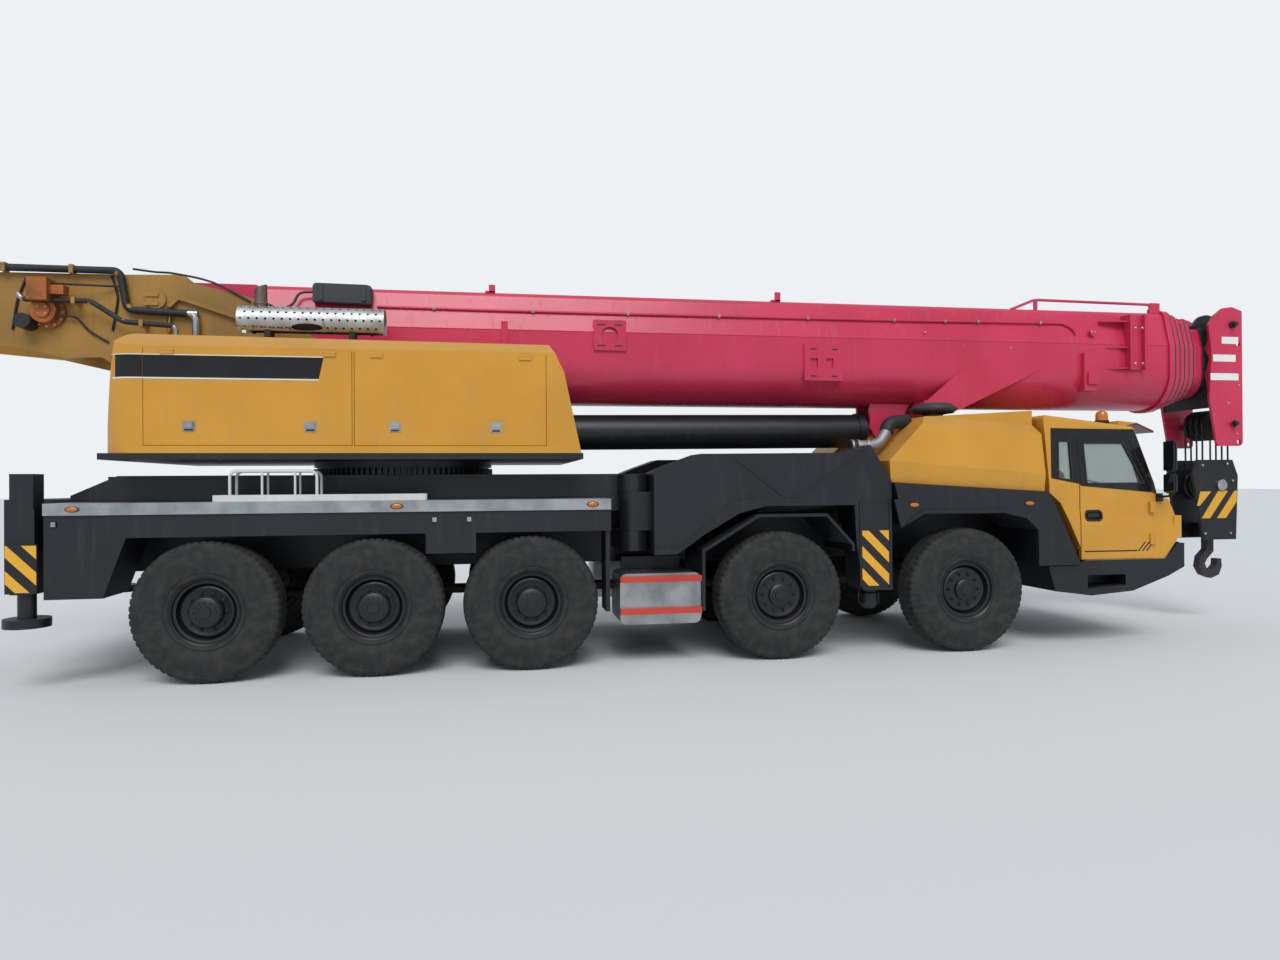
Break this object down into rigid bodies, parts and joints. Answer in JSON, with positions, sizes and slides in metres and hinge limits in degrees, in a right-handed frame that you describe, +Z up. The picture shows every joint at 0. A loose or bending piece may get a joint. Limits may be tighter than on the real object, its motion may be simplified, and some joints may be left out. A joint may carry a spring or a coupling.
{
  "type": "mobile crane",
  "caption": "Road-going mobile crane: steered wheeled carrier with outriggers, slewing upper works and a telescoping boom carried level over the cab.",
  "frame": {"origin": "centre of the bounding box on the ground, below the middle of the machine", "axes": "+X forward along the boom, +Y to the driver's left, +Z up"},
  "size_m": [15.6, 3.3, 4.1215],
  "materials": {
    "boom_red": "gloss",
    "body_yellow": "gloss",
    "upper_gold": "gloss",
    "chassis_black": "satin",
    "machine_grey": "satin",
    "bright_metal": "brushed",
    "tyre_black": "matte",
    "cab_glass": "clear",
    "seat_grey": "matte",
    "cast_grey": "matte",
    "winch_orange": "satin",
    "rod_chrome": "polished"
  },
  "bodies": {
    "chassis": {"chassis_frame": "chassis_black", "axles_and_driveline": "chassis_black", "engine_block": "machine_grey", "side_decks": "chassis_black", "deck_trim": "bright_metal", "front_wings": "chassis_black", "engine_hood": "body_yellow", "cab_shell": "body_yellow", "cab_glass": "cab_glass", "cab_interior": "seat_grey", "front_bumper": "chassis_black", "mirrors": "chassis_black", "fuel_tank": "bright_metal", "air_intake": "chassis_black", "slew_ring": "chassis_black"},
    "wheel_1_right": {"wheel_1_right": "tyre_black"},
    "knuckle_1_right": {"knuckle_1_right": "cast_grey"},
    "wheel_1_left": {"wheel_1_left": "tyre_black"},
    "knuckle_1_left": {"knuckle_1_left": "cast_grey"},
    "wheel_2_right": {"wheel_2_right": "tyre_black"},
    "knuckle_2_right": {"knuckle_2_right": "cast_grey"},
    "wheel_2_left": {"wheel_2_left": "tyre_black"},
    "knuckle_2_left": {"knuckle_2_left": "cast_grey"},
    "wheel_3_right": {"wheel_3_right": "tyre_black"},
    "wheel_3_left": {"wheel_3_left": "tyre_black"},
    "wheel_4_right": {"wheel_4_right": "tyre_black"},
    "wheel_4_left": {"wheel_4_left": "tyre_black"},
    "wheel_5_right": {"wheel_5_right": "tyre_black"},
    "wheel_5_left": {"wheel_5_left": "tyre_black"},
    "cab_door_right": {"cab_door_right": "body_yellow", "cab_door_glass_right": "cab_glass"},
    "outrigger_arm_right": {"outrigger_arm_right": "chassis_black"},
    "outrigger_jack_right": {"outrigger_jack_right": "chassis_black"},
    "rear_beam_right": {"rear_beam_right": "chassis_black"},
    "rear_jack_right": {"rear_jack_right": "chassis_black"},
    "cab_door_left": {"cab_door_left": "body_yellow", "cab_door_glass_left": "cab_glass"},
    "outrigger_arm_left": {"outrigger_arm_left": "chassis_black"},
    "outrigger_jack_left": {"outrigger_jack_left": "chassis_black"},
    "rear_beam_left": {"rear_beam_left": "chassis_black"},
    "rear_jack_left": {"rear_jack_left": "chassis_black"},
    "turntable": {"turntable": "upper_gold", "upper_engine": "machine_grey", "power_housing": "body_yellow", "muffler": "bright_metal", "operator_cab": "body_yellow", "operator_glass": "cab_glass"},
    "winch_drum": {"winch_drum": "winch_orange"},
    "operator_door": {"operator_door": "body_yellow"},
    "housing_lid_rear": {"housing_lid_rear": "body_yellow"},
    "housing_lid_front": {"housing_lid_front": "body_yellow"},
    "boom_base": {"boom_base": "boom_red"},
    "boom_section_2": {"boom_section_2": "boom_red"},
    "boom_section_3": {"boom_section_3": "boom_red"},
    "boom_section_4": {"boom_section_4": "boom_red"},
    "boom_section_5": {"boom_section_5": "boom_red"},
    "boom_section_6": {"boom_section_6": "boom_red"},
    "hook_block": {"hook_block": "chassis_black"},
    "lift_barrel": {"lift_barrel": "chassis_black"},
    "lift_rod": {"lift_rod": "rod_chrome"}
  },
  "joints": [
    {"name": "steer_1_right", "type": "hinge", "parent": "chassis", "child": "knuckle_1_right", "pos_m": [3.209, -0.98, 0.67], "axis": [0, 0, 1], "range_deg": [-25, 25]},
    {"name": "roll_1_right", "type": "hinge", "parent": "knuckle_1_right", "child": "wheel_1_right", "pos_m": [3.209, -1.2825, 0.67], "axis": [0, 1, 0], "continuous": true},
    {"name": "steer_1_left", "type": "hinge", "parent": "chassis", "child": "knuckle_1_left", "pos_m": [3.209, 0.98, 0.67], "axis": [0, 0, 1], "range_deg": [-25, 25]},
    {"name": "roll_1_left", "type": "hinge", "parent": "knuckle_1_left", "child": "wheel_1_left", "pos_m": [3.209, 1.2825, 0.67], "axis": [0, 1, 0], "continuous": true},
    {"name": "steer_2_right", "type": "hinge", "parent": "chassis", "child": "knuckle_2_right", "pos_m": [1.094, -0.98, 0.67], "axis": [0, 0, 1], "range_deg": [-18, 18]},
    {"name": "roll_2_right", "type": "hinge", "parent": "knuckle_2_right", "child": "wheel_2_right", "pos_m": [1.094, -1.2825, 0.67], "axis": [0, 1, 0], "continuous": true},
    {"name": "steer_2_left", "type": "hinge", "parent": "chassis", "child": "knuckle_2_left", "pos_m": [1.094, 0.98, 0.67], "axis": [0, 0, 1], "range_deg": [-18, 18]},
    {"name": "roll_2_left", "type": "hinge", "parent": "knuckle_2_left", "child": "wheel_2_left", "pos_m": [1.094, 1.2825, 0.67], "axis": [0, 1, 0], "continuous": true},
    {"name": "roll_3_right", "type": "hinge", "parent": "chassis", "child": "wheel_3_right", "pos_m": [-1.491, -1.2825, 0.67], "axis": [0, 1, 0], "continuous": true},
    {"name": "roll_3_left", "type": "hinge", "parent": "chassis", "child": "wheel_3_left", "pos_m": [-1.491, 1.2825, 0.67], "axis": [0, 1, 0], "continuous": true},
    {"name": "roll_4_right", "type": "hinge", "parent": "chassis", "child": "wheel_4_right", "pos_m": [-3.004, -1.2825, 0.67], "axis": [0, 1, 0], "continuous": true},
    {"name": "roll_4_left", "type": "hinge", "parent": "chassis", "child": "wheel_4_left", "pos_m": [-3.004, 1.2825, 0.67], "axis": [0, 1, 0], "continuous": true},
    {"name": "roll_5_right", "type": "hinge", "parent": "chassis", "child": "wheel_5_right", "pos_m": [-4.517, -1.2825, 0.67], "axis": [0, 1, 0], "continuous": true},
    {"name": "roll_5_left", "type": "hinge", "parent": "chassis", "child": "wheel_5_left", "pos_m": [-4.517, 1.2825, 0.67], "axis": [0, 1, 0], "continuous": true},
    {"name": "cab_door_right_hinge", "type": "hinge", "parent": "chassis", "child": "cab_door_right", "pos_m": [5.56, -1.396, 1.5], "axis": [0, 0, 1], "range_deg": [0, 70]},
    {"name": "outrigger_arm_right_swing", "type": "hinge", "parent": "chassis", "child": "outrigger_arm_right", "pos_m": [-0.395, -1.04, 1.5], "axis": [0, 0, -1], "range_deg": [0, 60]},
    {"name": "outrigger_jack_right_slide", "type": "slide", "parent": "outrigger_arm_right", "child": "outrigger_jack_right", "axis": [0, 0, -1], "range_m": [0, 0.6]},
    {"name": "rear_beam_right_slide", "type": "slide", "parent": "chassis", "child": "rear_beam_right", "axis": [0, -1, 0], "range_m": [0, 1.5]},
    {"name": "rear_jack_right_slide", "type": "slide", "parent": "rear_beam_right", "child": "rear_jack_right", "axis": [0, 0, -1], "range_m": [0, 0.5]},
    {"name": "cab_door_left_hinge", "type": "hinge", "parent": "chassis", "child": "cab_door_left", "pos_m": [5.56, 1.396, 1.5], "axis": [0, 0, -1], "range_deg": [0, 70]},
    {"name": "outrigger_arm_left_swing", "type": "hinge", "parent": "chassis", "child": "outrigger_arm_left", "pos_m": [-0.395, 1.04, 1.5], "axis": [0, 0, 1], "range_deg": [0, 60]},
    {"name": "outrigger_jack_left_slide", "type": "slide", "parent": "outrigger_arm_left", "child": "outrigger_jack_left", "axis": [0, 0, -1], "range_m": [0, 0.6]},
    {"name": "rear_beam_left_slide", "type": "slide", "parent": "chassis", "child": "rear_beam_left", "axis": [0, 1, 0], "range_m": [0, 1.5]},
    {"name": "rear_jack_left_slide", "type": "slide", "parent": "rear_beam_left", "child": "rear_jack_left", "axis": [0, 0, -1], "range_m": [0, 0.5]},
    {"name": "slew", "type": "hinge", "parent": "chassis", "child": "turntable", "pos_m": [-2.833, 0, 2.1], "axis": [0, 0, 1], "continuous": true},
    {"name": "winch_turn", "type": "hinge", "parent": "turntable", "child": "winch_drum", "pos_m": [-6.24, 0, 3.6], "axis": [0, 1, 0], "continuous": true},
    {"name": "operator_door_slide", "type": "slide", "parent": "turntable", "child": "operator_door", "axis": [-1, 0, 0], "range_m": [0, 0.62]},
    {"name": "housing_lid_rear_hinge", "type": "hinge", "parent": "turntable", "child": "housing_lid_rear", "pos_m": [-3.19, -1.405, 3.125], "axis": [-1, 0, 0], "range_deg": [0, 75]},
    {"name": "housing_lid_front_hinge", "type": "hinge", "parent": "turntable", "child": "housing_lid_front", "pos_m": [-3.19, -1.405, 3.125], "axis": [-1, 0, 0], "range_deg": [0, 75]},
    {"name": "luff", "type": "hinge", "parent": "turntable", "child": "boom_base", "pos_m": [-5.241, 0, 3.757], "axis": [0, -1, 0], "range_deg": [0, 72]},
    {"name": "telescope_2", "type": "slide", "parent": "boom_base", "child": "boom_section_2", "axis": [1, 0, 0], "range_m": [0, 10.2]},
    {"name": "telescope_3", "type": "slide", "parent": "boom_section_2", "child": "boom_section_3", "axis": [1, 0, 0], "range_m": [0, 10.2]},
    {"name": "telescope_4", "type": "slide", "parent": "boom_section_3", "child": "boom_section_4", "axis": [1, 0, 0], "range_m": [0, 10.2]},
    {"name": "telescope_5", "type": "slide", "parent": "boom_section_4", "child": "boom_section_5", "axis": [1, 0, 0], "range_m": [0, 10.2]},
    {"name": "telescope_6", "type": "slide", "parent": "boom_section_5", "child": "boom_section_6", "axis": [1, 0, 0], "range_m": [0, 10.2]},
    {"name": "hook_block_hang", "type": "hinge", "parent": "boom_section_6", "child": "hook_block", "pos_m": [7.548, 0, 2.571], "axis": [0, 1, 0], "range_deg": [0, 73]},
    {"name": "lift_barrel_pin", "type": "hinge", "parent": "turntable", "child": "lift_barrel", "pos_m": [-3.35, 0, 2.43], "axis": [0, -1, 0], "range_deg": [0, 79]},
    {"name": "lift_rod_slide", "type": "slide", "parent": "lift_barrel", "child": "lift_rod", "axis": [1, 0, 0.0081], "range_m": [0, 2.638]}
  ],
  "couplings": [
    {"joint": "steer_1_left", "follows": "steer_1_right", "ratio": 1},
    {"joint": "steer_2_right", "follows": "steer_1_right", "ratio": 0.7},
    {"joint": "steer_2_left", "follows": "steer_1_right", "ratio": 0.7},
    {"joint": "telescope_3", "follows": "telescope_2", "ratio": 1},
    {"joint": "telescope_4", "follows": "telescope_2", "ratio": 1},
    {"joint": "telescope_5", "follows": "telescope_2", "ratio": 1},
    {"joint": "telescope_6", "follows": "telescope_2", "ratio": 1},
    {"joint": "hook_block_hang", "follows": "luff", "ratio": 1},
    {"joint": "lift_barrel_pin", "follows": "luff", "ratio": 1.0777},
    {"joint": "lift_rod_slide", "follows": "luff", "m_per_rad": 2.0832}
  ]
}
